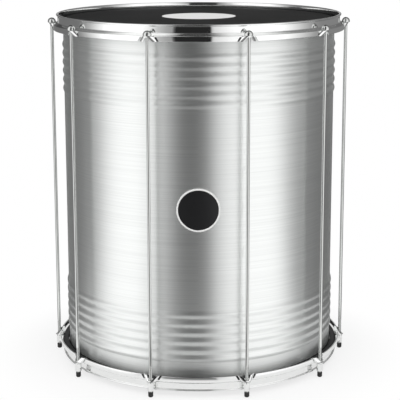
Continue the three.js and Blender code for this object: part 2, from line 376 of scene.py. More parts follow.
@dataclass(frozen=True)
class Napa(Finish):
    """Black napa: pebbled grain with fine pores, and a plain pale spot where the head has one."""

    name: str = "black_napa"
    dark: tuple = (0.018, 0.0185, 0.0185)
    light: tuple = (0.038, 0.0385, 0.0385)
    roughness: float = 0.56
    specular: float = 0.18
    cell_scale: float = 620.0
    cell_edge: float = 0.62
    cell_share: float = 0.75
    pores: Noise = Noise(2300.0)
    patches: Noise = Noise(9.0, 3.0)
    patch_share: float = 0.4
    grain_swing: float = 0.10
    patch_swing: float = 0.08
    grain_depth: float = 0.16 * MM
    grain_strength: float = 0.6
    spot_radius: float = 0.0
    spot_back: float = 33.0 * MM
    spot_edge: float = 0.4 * MM
    spot_colour: tuple = (0.92, 0.92, 0.91)
    spot_wear: float = 0.5
    wear_range: tuple = (0.72, 0.9)

    def dress(self, sheet: ShaderSheet) -> Flow:
        """Cells and pores make the grain, patches vary it, and a distance cuts the worn spot."""
        place = sheet.place()
        cells = sheet.flow("TexVoronoi", "Distance", Vector=place, Scale=self.cell_scale)
        pores, patches = sheet.noise(place, self.pores), sheet.noise(place, self.patches)
        grain = sheet.step(cells, 0.0, self.cell_edge) * self.cell_share + pores * (1 - self.cell_share)
        shade = grain * (1 - self.patch_share) + patches * self.patch_share
        colour = sheet.mix(shade, self.light, self.dark)
        if self.spot_radius:
            away = sheet.axis(place, 0).away(sheet.axis(place, 1) - self.spot_back)
            spot = sheet.step(away, self.spot_radius + self.spot_edge, self.spot_radius)
            worn = sheet.step(pores, *self.wear_range) * self.spot_wear
            colour = sheet.mix(spot * (1 - worn), colour, self.spot_colour)
        return sheet.flow(
            "BsdfPrincipled",
            Base_Color=colour,
            Roughness=self.roughness + grain.swing(self.grain_swing) + patches.swing(self.patch_swing),
            Specular_IOR_Level=self.specular,
            Normal=sheet.bump(1 - grain, self.grain_depth, self.grain_strength),
        )


@dataclass(frozen=True)
class Rubber(Finish):
    """Moulded black rubber, a little scuffed."""

    name: str = "black_rubber"
    dark: tuple = (0.012, 0.012, 0.012)
    light: tuple = (0.024, 0.024, 0.024)
    roughness: float = 0.62
    scuffs: Noise = Noise(240.0, 3.0)
    scuff_range: tuple = (0.35, 0.7)
    scuff_swing: float = 0.2
    pores: Noise = Noise(1600.0)
    pore_depth: float = 0.06 * MM
    pore_strength: float = 0.5

    def dress(self, sheet: ShaderSheet) -> Flow:
        """Fine pores and scuffs."""
        place = sheet.place()
        scuffs = sheet.noise(place, self.scuffs)
        return sheet.flow(
            "BsdfPrincipled",
            Base_Color=sheet.mix(sheet.step(scuffs, *self.scuff_range), self.dark, self.light),
            Roughness=self.roughness + scuffs.swing(self.scuff_swing),
            Normal=sheet.bump(sheet.noise(place, self.pores), self.pore_depth, self.pore_strength),
        )


@dataclass(frozen=True)
class Enamel(Finish):
    """Enamel of the badge, black unless told otherwise, with a faint orange-peel surface."""

    name: str = "black_enamel"
    dark: tuple = (0.009, 0.009, 0.010)
    light: tuple = (0.014, 0.014, 0.015)
    roughness: float = 0.32
    specular: float = 0.35
    specks: Noise = Noise(1500.0, 3.0)
    speck_swing: float = 0.1
    peel: Noise = Noise(420.0, 1.0)
    peel_depth: float = 0.03 * MM
    peel_strength: float = 0.4

    def dress(self, sheet: ShaderSheet) -> Flow:
        """Slow waves in the coat and specks in its gloss."""
        place = sheet.place()
        specks = sheet.noise(place, self.specks)
        return sheet.flow(
            "BsdfPrincipled",
            Base_Color=sheet.mix(specks, self.dark, self.light),
            Roughness=self.roughness + specks.swing(self.speck_swing),
            Specular_IOR_Level=self.specular,
            Normal=sheet.bump(sheet.noise(place, self.peel), self.peel_depth, self.peel_strength),
        )


# Outlines and meshes

Shape = Callable[[float, float, float], float]


class Corner(NamedTuple):
    """Corner of an outline: distance from the axis, height and the radius of its fillet."""

    r: float
    z: float
    fillet: float = 0.0


def rounded(corners: Sequence[Corner], steps: int = 4) -> list[tuple[float, float]]:
    """Outline with arcs in place of its corners.

    Args:
        corners: Corners of a closed outline in order.
        steps: Steps of each arc.

    Returns:
        Points (r, z) of the closed outline.
    """
    points = []
    for index, corner in enumerate(corners):
        here = Vector(corner[:2])
        if corner.fillet <= 0:
            points.append((here.x, here.y))
            continue
        before = (Vector(corners[index - 1][:2]) - here).normalized()
        after = (Vector(corners[(index + 1) % len(corners)][:2]) - here).normalized()
        half = before.angle(after) / 2
        middle = here + (before + after).normalized() * (corner.fillet / math.sin(half))
        start = here + before * (corner.fillet / math.tan(half)) - middle
        sweep = start.angle_signed(here + after * (corner.fillet / math.tan(half)) - middle)
        for step in range(steps + 1):
            points.append(tuple(middle + Matrix.Rotation(-sweep * step / steps, 2) @ start))
    return points


def blend(first: float, second: float, share: float) -> float:
    """Value that goes from the first to the second."""
    return first + (second - first) * share


def spread(first: float, second: float, steps: int) -> list[float]:
    """Even steps from the first to the second, both included."""
    return [blend(first, second, step / steps) for step in range(steps + 1)]


def between(first: Sequence[float], second: Sequence[float], steps: int) -> list[tuple[float, float]]:
    """Points that part the way from the first to the second into even steps, without its ends."""
    return list(zip(*(spread(start, end, steps)[1:-1] for start, end in zip(first, second))))


def smooth(share: float) -> float:
    """Smooth step of a share, held between 0 and 1."""
    share = min(max(share, 0.0), 1.0)
    return share * share * (3 - 2 * share)


def rod_angle(station: int) -> float:
    """Angle of a rod from the front towards +X."""
    return (station + 0.5) / ROD_COUNT * TURN


def rod_circle_radius() -> float:
    """Radius of the circle that the rods stand on, from the rod on +X."""
    low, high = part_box("tension_rod_03")
    return (low.x + high.x) / 2


def around(r: float, angle: float, z: float, aside: float = 0.0) -> Vector:
    """Point at an angle from the front, r from the drum's axis and aside along the tangent."""
    sin, cos = math.sin(angle), math.cos(angle)
    return Vector((r * sin + aside * cos, -r * cos + aside * sin, z))


@dataclass
class Gap:
    """Opening in a sheet: the columns whose rows between first and last are left out."""

    columns: frozenset
    first: int
    last: int


@dataclass
class SheetMesh:
    """Collects the corners and faces of one mesh, with texture places in metres."""

    points: list = field(default_factory=list)
    faces: list = field(default_factory=list)
    places: list = field(default_factory=list)

    def add_sections(self, sections: Sequence[Sequence[Vector]], loop: bool = True,
                     gap: Gap | None = None) -> None:
        """Joins sections that go once round into a skin.

        Args:
            sections: Equal lists of points, the last section next to the first.
            loop: True where each section closes on itself.
            gap: Columns and rows that are left open, with their edges closed.
        """
        base, count, rows = len(self.points), len(sections), len(sections[0])
        for section in sections:
            self.points.extend(section)
        across = self._lengths([section[0] for section in sections], True)
        if across[-1] == 0:
            across = self._lengths([section[rows // 2] for section in sections], True)
        along = self._lengths(sections[0], loop)

        def number(column: int, row: int) -> int:
            """Number of the point at a column and row, both counted round."""
            return base + column % count * rows + row % rows

        for column in range(count):
            open_here = gap is not None and column in gap.columns
            strips = [(row, row + 1) for row in range(rows if loop else rows - 1)]
            if open_here:
                strips = strips[:gap.first] + strips[gap.last:] + [(gap.first, gap.last)]
            for upper, lower in strips:
                quad = ((column, upper), (column + 1, upper), (column + 1, lower), (column, lower))
                self.faces.append([number(*corner) for corner in quad])
                self.places.extend((across[c], along[r]) for c, r in quad)
            for edge, beside in ((column, column - 1), (column + 1, column + 1)):
                if open_here and beside % count not in gap.columns:
                    cut = range(gap.first, gap.last + 1)
                    self.faces.append([number(edge, row) for row in cut])
                    self.places.extend((along[row], across[column]) for row in cut)

    @staticmethod
    def _lengths(points: Sequence[Vector], closed: bool) -> list[float]:
        """Running length along points.

        Args:
            points: The points.
            closed: True where the last one is joined to the first.

        Returns:
            Lengths from 0, one more than the points.
        """
        lengths = [0.0]
        for here, there in zip(points, [*points[1:], points[0] if closed else points[-1]]):
            lengths.append(lengths[-1] + (there - here).length)
        return lengths

    def build(self, name: str, sharp_degrees: float = SHARP_DEGREES) -> bpy.types.Mesh:
        """Makes the mesh, smooth but for its sharp edges.

        Args:
            name: Name of the mesh.
            sharp_degrees: Bends above this stay sharp.

        Returns:
            The mesh.
        """
        mesh = bpy.data.meshes.new(name)
        mesh.from_pydata([tuple(point) for point in self.points], [], self.faces)
        layer = mesh.uv_layers.new(name="places")
        layer.data.foreach_set("uv", [number for place in self.places for number in place])
        work = bmesh.new()
        work.from_mesh(mesh)
        unused = [point for point in work.verts if not point.link_faces]
        bmesh.ops.delete(work, geom=unused, context="VERTS")
        bmesh.ops.remove_doubles(work, verts=work.verts, dist=SAME_PLACE)
        bmesh.ops.dissolve_degenerate(work, edges=work.edges, dist=SAME_PLACE)
        bmesh.ops.recalc_face_normals(work, faces=work.faces)
        if work.calc_volume(signed=True) < 0:
            bmesh.ops.reverse_faces(work, faces=work.faces)
        work.to_mesh(mesh)
        work.free()
        mesh.shade_smooth()
        mesh.set_sharp_from_angle(angle=math.radians(sharp_degrees))
        return mesh


def turned_mesh(name: str, outline: Sequence[tuple], columns: int, loop: bool = True,
                shape: Shape | None = None, extra: Sequence[float] = (),
                sharp_degrees: float = SHARP_DEGREES) -> bpy.types.Mesh:
    """Mesh of an outline that is turned once round the axis.

    Args:
        name: Name of the mesh.
        outline: Points (r, z).
        columns: Even sections round the axis.
        loop: True where the outline closes on itself.
        shape: Changes r, z and angle to the radius, for what isn't round.
        extra: Angles of further sections.
        sharp_degrees: Bends above this stay sharp.

    Returns:
        The mesh.
    """
    skin = SheetMesh()
    skin.add_sections([
        [around(shape(r, z, angle) if shape else r, angle, z) for r, z in outline]
        for angle in sorted([*spread(0.0, TURN, columns)[:-1], *extra])
    ], loop)
    return skin.build(name, sharp_degrees)


def place_piece(name: str, mesh: bpy.types.Mesh, finish: Finish, nodes: Iterable[str],
                body: str = "drum", at: Matrix | None = None) -> None:
    """Puts a piece in the scene, on its body and in its node's place.

    Args:
        name: Name of the piece.
        mesh: Its mesh.
        finish: Its finish.
        nodes: Solids that it stands for.
        body: Body that it rides on.
        at: Its place, if the mesh isn't made in place.
    """
    piece = bpy.data.objects.new(name, mesh)
    bpy.context.scene.collection.objects.link(piece)
    if at is not None:
        piece.matrix_world = at
    if not mesh.materials:
        mesh.materials.append(finish.material())
    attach(piece, body)
    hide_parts(*nodes)
    log.info("%s: %d faces, on %s", name, len(mesh.polygons), body)


# The drum

@dataclass
class Shell:
    """Tube of rolled sheet, its edge lapped at a seam, with ridges that show as grooves inside."""

    wall: float = 1.6 * MM
    ridge_count: int = 6
    ridge_pitch: float = 16.4 * MM
    ridge_height: float = 2.2 * MM
    ridge_to_edge: float = 45.2 * MM
    ridge_rows: int = 12
    edge_round: float = 0.7 * MM
    seam_angle: float = math.radians(17.0)
    seam_width: float = math.radians(2.3)
    seam_edge: float = math.radians(0.05)
    seam_rise: float = 0.35 * MM
    seam_fade_start: float = 12.0 * MM
    seam_fade_length: float = 4.0 * MM
    seam_columns: int = 8
    columns: int = 240
    finish: Finish = BrushedAluminium()

    def __post_init__(self) -> None:
        """Reads the shell's box."""
        low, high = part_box("shell")
        self.foot, self.top = low.z, high.z
        self.radius = high.x - self.ridge_height

    def ridge_centres(self) -> list[float]:
        """Heights of the ridges from the foot up."""
        last = (self.ridge_count - 1) * self.ridge_pitch
        starts = (self.foot + self.ridge_to_edge, self.top - self.ridge_to_edge - last)
        return [start + number * self.ridge_pitch for start in starts for number in range(self.ridge_count)]

    def wall_points(self) -> list[tuple[float, float]]:
        """Outer wall between the edges, a rolled wave at each ridge.

        Returns:
            Points (rise over the plain wall, height) from the foot up.
        """
        points = []
        half = self.ridge_pitch / 2
        for number, centre in enumerate(self.ridge_centres()):
            starts_group = number % self.ridge_count == 0
            for offset in spread(-half, half, self.ridge_rows)[0 if starts_group else 1:]:
                rise = self.ridge_height * (1 + math.cos(math.pi * offset / half)) / 2
                points.append((rise, centre + offset))
        return points

    def seamed(self, r: float, z: float, angle: float) -> float:
        """Lifts the outer wall where the sheet's edge laps over itself.

        Args:
            r: Radius of a point of the plain wall.
            z: Its height.
            angle: Its angle from the front.

        Returns:
            Its radius with the seam.
        """
        if r < self.radius - self.wall / 2:
            return r
        past = (angle - self.seam_angle) / self.seam_width
        held = smooth((min(z - self.foot, self.top - z) - self.seam_fade_start) / self.seam_fade_length)
        return r + self.seam_rise * held * (1 - smooth(past - 1)) * (past >= 0)

    def make(self) -> None:
        """Builds the shell and dresses it."""
        outer, inner = self.radius, self.radius - self.wall
        ends = rounded([
            Corner(r, z, self.edge_round)
            for r, z in ((inner, self.foot), (outer, self.foot), (outer, self.top), (inner, self.top))
        ])
        half = len(ends) // 2
        fades = spread(self.seam_fade_start, self.seam_fade_start + self.seam_fade_length, 2)
        wave = self.wall_points()
        outline = (
            ends[:half] + [(outer, self.foot + depth) for depth in fades]
            + [(outer + rise, z) for rise, z in wave]
            + [(outer, self.top - depth) for depth in reversed(fades)] + ends[half:]
            + [(inner + rise, z) for rise, z in reversed(wave)]
        )
        lap = spread(self.seam_angle, self.seam_angle + 2 * self.seam_width, self.seam_columns)
        name = "shell_tube"
        mesh = turned_mesh(
            name, outline, self.columns, shape=self.seamed, extra=[self.seam_angle - self.seam_edge, *lap],
        )
        place_piece(name, mesh, self.finish, ["shell"])


class Part(Enum):
    """Parts of an ear's outline."""

    ROOT, FLANK, SIDE, MOUTH, BACK = range(5)


class Column(NamedTuple):
    """Column of an ear: its part, its side (-1 left, 1 right) and its share of the way along the part."""

    part: Part
    side: int = 1
    share: float = 0.0


@dataclass
class Ear:
    """Hollow tongue pressed out of a hoop's skirt, with a flat seat round the rod and an open mouth."""

    rod_circle: float
    root: float
    foot_depth: float
    wall: float
    reach: float = 5.6 * MM
    seat_depth: float = 18.9 * MM
    top_half_width: float = 10.5 * MM
    top_nose: float = 9.8 * MM
    foot_half_width: float = 15.5 * MM
    foot_nose: float = 5.5 * MM
    foot_setback: float = 6.8 * MM
    flare: float = 1.5 * MM
    mouth_top_half_width: float = 2.6 * MM
    mouth_foot_half_width: float = 8.3 * MM
    widest_mouth_share: float = 0.95
    hole_radius: float = 3.4 * MM
    edge_round: float = 1.5 * MM
    edge_rows: int = 4
    wall_rows: int = 6
    side_columns: int = 9
    mouth_columns: int = 4
    back_columns: int = 6

    def __post_init__(self) -> None:
        """Works out the depth of the seat's underside."""
        self.under = self.seat_depth + self.wall

    def sections(self) -> tuple[list, Gap]:
        """Sections of an ear at the front, each a loop of (aside, r, depth).

        Returns:
            The sections once round the rod's hole, and the opening of mouth and back.
        """
        edge = [
            (self.seat_depth + self.edge_round * (1 - math.cos(turn)), self.edge_round * (1 - math.sin(turn)))
            for turn in spread(0, math.pi / 2, self.edge_rows)
        ]
        depths = spread(self.under, self.foot_depth, self.wall_rows)
        rows = edge + [(depth, 0.0) for depth in depths] + [(depth, self.wall) for depth in reversed(depths)]
        sections, open_columns = [], set()
        for column in self._columns():
            if column.part in (Part.MOUTH, Part.BACK):
                # Open on both sides of this column
                open_columns.update((len(sections) - 1, len(sections)))
            rim = self._point(column, self.seat_depth, self.edge_round)
            heading = Vector((rim.x, rim.y - self.rod_circle)).normalized() * self.hole_radius
            hole = (heading.x, self.rod_circle + heading.y)
            sections.append([
                Vector((*hole, self.seat_depth)), *(self._point(column, *row) for row in rows),
                Vector((*hole, self.under)),
            ])
        first = 1 + len(edge)
        return sections, Gap(frozenset(open_columns), first, first + 2 * len(depths) - 1)

    def _columns(self) -> list[Column]:
        """Columns from the left root round the nose to the right root and along the back."""
        shares = spread(0, 1, self.side_columns)
        left = [Column(Part.ROOT, -1), Column(Part.FLANK, -1), *(Column(Part.SIDE, -1, s) for s in shares)]
        mouth = [Column(Part.MOUTH, share=s) for s in spread(0, 1, self.mouth_columns)[1:-1]]
        right = [*(Column(Part.SIDE, 1, s) for s in reversed(shares)), Column(Part.FLANK), Column(Part.ROOT)]
        back = [Column(Part.BACK, share=s) for s in spread(0, 1, self.back_columns)[1:-1]]
        return left + mouth + right + back

    def _point(self, column: Column, depth: float, inset: float) -> Vector:
        """Point of a column.

        Args:
            column: The column.
            depth: Depth under the rim.
            inset: Distance inside the outer face.

        Returns:
            Point (aside, r, depth).
        """
        fall = (depth - self.seat_depth) / (self.foot_depth - self.seat_depth)
        half_width = blend(self.top_half_width, self.foot_half_width, fall)
        nose = blend(self.top_nose, self.foot_nose, fall)
        tip = self.rod_circle + self.reach
        centre = blend(tip - self.top_nose, tip - self.foot_setback - self.foot_nose, fall)
        mouth_fall = max(0.0, (depth - self.under) / (self.foot_depth - self.under))
        mouth = blend(self.mouth_top_half_width, self.mouth_foot_half_width, mouth_fall)
        lip = math.asin(min(self.widest_mouth_share, mouth / (half_width - inset)))
        if column.part is Part.BACK:
            wide = half_width + self.flare
            return Vector((blend(wide, -wide, column.share), self.root, depth))
        if column.part is Part.ROOT:
            return Vector((column.side * (half_width + self.flare - inset), self.root, depth))
        if column.part is Part.FLANK:
            aside = half_width + self.flare / 2 - inset
            return Vector((column.side * aside, (self.root + centre) / 2, depth))
        if column.part is Part.MOUTH:
            turn = blend(-lip, lip, column.share)
        else:
            turn = column.side * blend(math.pi / 2, lip, column.share)
        half_width, nose = half_width - inset, nose - inset
        return Vector((half_width * math.sin(turn), centre + nose * math.cos(turn), depth))


@dataclass
class Hoop:
    """Chromed steel hoop: a lip, a band, a sloping step and a skirt with ten ears."""

    end: End
    wall: float = 2.0 * MM
    band_radius: float = 264.0 * MM
    skirt_radius: float = 272.3 * MM
    flesh_hoop_radius: float = 266.5 * MM
    ear_clearance: float = 0.5 * MM
    lip_proud: float = 2.4 * MM
    lip_height: float = 3.0 * MM
    band_height: float = 15.0 * MM
    step_height: float = 4.0 * MM
    skirt_height: float = 9.6 * MM
    rim_round: float = 0.9 * MM
    lip_round: float = 1.3 * MM
    band_round: float = 1.8 * MM
    brow_round: float = 1.5 * MM
    edge_round: float = 0.8 * MM
    under_skirt_round: float = 0.4 * MM
    under_band_round: float = 1.2 * MM
    slit_width: float = 2.5 * MM
    seat_drop: float = 0.05 * MM
    seat_radius: float = 8.2 * MM
    seat_blend: float = 1.8 * MM
    step_rows: int = 5
    window_columns: int = 14
    plain_columns: int = 14
    finish: Finish = Chrome()

    def __post_init__(self) -> None:
        """Works out the depths and the ear."""
        self.height = self.band_height + self.step_height + self.skirt_height
        self.slope = self.step_height / (self.skirt_radius - self.band_radius)
        self.rod_circle = rod_circle_radius()
        self.rim = self.end.rim()
        self.ear = Ear(self.rod_circle, self.flesh_hoop_radius + self.ear_clearance, self.height, self.wall)

    def level(self, depth: float) -> float:
        """Height in the frame of a depth under this end's rim."""
        return self.rim + self.end.inward * depth

    def step_depth(self, r: float) -> float:
        """Depth of the step's upper face."""
        return self.band_height + (r - self.band_radius) * self.slope

    def underside_depth(self, r: float) -> float:
        """Depth of the step's lower face."""
        return self.step_depth(r) + self.wall * math.sqrt(1 + self.slope ** 2)

    def outline(self) -> tuple[list[tuple[float, float]], int, int]:
        """Section of the strip.

        Returns:
            Points (r, depth), and the numbers of the outer and inner point at the windows' top.
        """
        inner, skirt_inner = self.band_radius - self.wall, self.skirt_radius - self.wall
        lip = self.band_radius + self.lip_proud
        corners = [
            Corner(inner, 0.0, self.rim_round),
            Corner(lip, 0.0, self.lip_round),
            Corner(lip, self.lip_height, self.lip_round),
            Corner(self.band_radius, self.lip_height, self.rim_round),
            Corner(self.band_radius, self.band_height, self.band_round),
            Corner(self.skirt_radius, self.band_height + self.step_height, self.brow_round),
            Corner(self.skirt_radius, self.height, self.edge_round),
            Corner(skirt_inner, self.height, self.edge_round),
            Corner(skirt_inner, self.underside_depth(skirt_inner), self.under_skirt_round),
            Corner(inner, self.underside_depth(inner), self.under_band_round),
        ]
        points = rounded(corners)
        size = len(points) // len(corners)
        *lips, band, brow, outer_edge, inner_edge, under_skirt, under_band = (
            points[start:start + size] for start in range(0, len(points), size)
        )
        outside = [*sum(lips, []), *band, *between(band[-1], brow[0], self.step_rows), *brow]
        foot = [(self.skirt_radius, self.ear.under), *outer_edge, *inner_edge]
        under = between(under_skirt[-1], under_band[0], self.step_rows)
        inside = [(skirt_inner, self.ear.under), *under_skirt, *under, *under_band]
        return outside + foot + inside, len(outside), len(outside + foot)

    def window_half_width(self, depth: float) -> float:
        """Half width of a window: the ear's, its flare and a slit.

        Args:
            depth: Depth under the rim.

        Returns:
            The half width, along the skirt.
        """
        fall = max(0.0, (depth - self.ear.under) / (self.height - self.ear.under))
        ear = blend(self.ear.top_half_width, self.ear.foot_half_width, fall)
        return ear + self.ear.flare + self.slit_width

    def dimpled(self, r: float, angle: float, depth: float) -> float:
        """Presses the step flat round a rod's head.

        Args:
            r: Radius of a point of the strip.
            angle: Its angle from the rod.
            depth: Its depth.

        Returns:
            Its depth with the seat.
        """
        if not self.band_radius < r < self.skirt_radius or depth < self.band_height / 2:
            return depth
        away = math.dist((r * math.sin(angle), r * math.cos(angle)), (0.0, self.rod_circle))
        pressed = max(0.0, self.ear.seat_depth + self.seat_drop - self.step_depth(r))
        return depth + pressed * smooth((self.seat_radius + self.seat_blend - away) / self.seat_blend)

    def sections(self) -> tuple[list, Gap]:
        """Sections of the strip all the way round, with its windows.

        Returns:
            The sections and the opening.
        """
        outline, first, last = self.outline()
        edges = [self.window_half_width(depth) / self.skirt_radius for _, depth in outline]
        columns = [[share * edge for edge in edges] for share in spread(-1, 1, self.window_columns)[:-1]]
        window = range(len(columns))
        columns += [
            [blend(edge, TURN / ROD_COUNT - edge, share) for edge in edges]
            for share in spread(0, 1, self.plain_columns)[:-1]
        ]
        sections = [
            [
                around(r, rod_angle(station) + offset, self.level(self.dimpled(r, offset, depth)))
                for (r, depth), offset in zip(outline, column)
            ]
            for station in range(ROD_COUNT) for column in columns
        ]
        open_columns = {station * len(columns) + number for station in range(ROD_COUNT) for number in window}
        return sections, Gap(frozenset(open_columns), first, last)

    def make(self) -> None:
        """Builds the hoop with its ears and dresses it."""
        skin = SheetMesh()
        sections, gap = self.sections()
        skin.add_sections(sections, gap=gap)
        sections, gap = self.ear.sections()
        for angle in map(rod_angle, range(ROD_COUNT)):
            turned = [[around(p.y, angle, self.level(p.z), p.x) for p in section] for section in sections]
            skin.add_sections(turned, gap=gap)
        node = f"{self.end.prefix}_hoop"
        name = f"{node}_pressing"
        place_piece(name, skin.build(name), self.finish, [node])


@dataclass
class Head:
    """Napa skin across the shell's edge, its collar inside the flesh hoop, with a spot on the upper one."""

    end: End
    spot_radius: float = 70.0 * MM
    thickness: float = 1.0 * MM
    shoulder: float = 2.4 * MM
    inner_shoulder: float = 1.2 * MM
    collar_round: float = 0.4 * MM
    collar_recess: float = FLESH_HOOP_RECESS
    arc_steps: int = 5
    columns: int = 240
    rings: int = 24

    def __post_init__(self) -> None:
        """Reads the head's box."""
        low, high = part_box(f"{self.end.prefix}_head")
        self.radius = high.x
        self.face, foot = (high.z, low.z) if self.end is End.TOP else (low.z, high.z)
        self.foot = foot - self.end.inward * self.collar_recess

    def make(self) -> None:
        """Builds the skin and dresses it."""
        inner, under = self.radius - self.thickness, self.face + self.end.inward * self.thickness
        turned = rounded([
            Corner(0.0, self.face),
            Corner(self.radius, self.face, self.shoulder),
            Corner(self.radius, self.foot, self.collar_round),
            Corner(inner, self.foot, self.collar_round),
            Corner(inner, under, self.inner_shoulder),
            Corner(0.0, under),
        ], self.arc_steps)
        rings = spread(0.0, self.radius - self.shoulder, self.rings)[1:-1]
        outline = [
            turned[0], *((r, self.face) for r in rings), *turned[1:-1],
            *((r, under) for r in reversed(rings)), turned[-1],
        ]
        node = f"{self.end.prefix}_head"
        name = f"{node}_skin"
        spot_radius = self.spot_radius if self.end is End.TOP else 0.0
        finish = Napa(name=f"{self.end.prefix}_napa", spot_radius=spot_radius)
        place_piece(name, turned_mesh(name, outline, self.columns, loop=False), finish, [node])


@dataclass
class FleshHoop:
    """Ring under the step that the skin is lapped round, set back from the skirt's edge."""

    end: End
    recess: float = FLESH_HOOP_RECESS
    clear: float = 0.3 * MM
    inner_round: float = 1.2 * MM
    band_round: float = 1.0 * MM
    outer_round: float = 1.8 * MM
    foot_round: float = 2.6 * MM
    columns: int = 240
    # Black napa lapped round the ring; its near-black also stands as painted shade for the gap under the
    # skirt.
    finish: Finish = Napa(
        name="lapped_napa_and_painted_shade", dark=(0.016, 0.016, 0.017), light=(0.030, 0.030, 0.031), roughness=0.46,
        specular=0.4, grain_depth=0.06 * MM,
    )

    def make(self, hoop: Hoop, head: Head) -> None:
        """Builds the ring between the skin's collar and the skirt.

        Args:
            hoop: The hoop that presses on it.
            head: The head that it holds.
        """
        node = f"{self.end.prefix}_flesh_hoop"
        low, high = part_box(node)
        inner, outer = head.radius + self.clear, hoop.flesh_hoop_radius
        band_inner = hoop.band_radius - hoop.wall
        slant = self.clear * math.sqrt(1 + hoop.slope ** 2)
        top = hoop.underside_depth(band_inner) + slant
        foot = top + (high.z - low.z) - self.recess
        outline = rounded([
            Corner(inner, top, self.inner_round),
            Corner(band_inner, top, self.band_round),
            Corner(outer, hoop.underside_depth(outer) + slant, self.outer_round),
            Corner(outer, foot, self.foot_round),
            Corner(inner, foot, self.foot_round),
        ])
        name = f"{node}_ring"
        mesh = turned_mesh(name, [(r, hoop.level(depth)) for r, depth in outline], self.columns)
        place_piece(name, mesh, self.finish, [node])


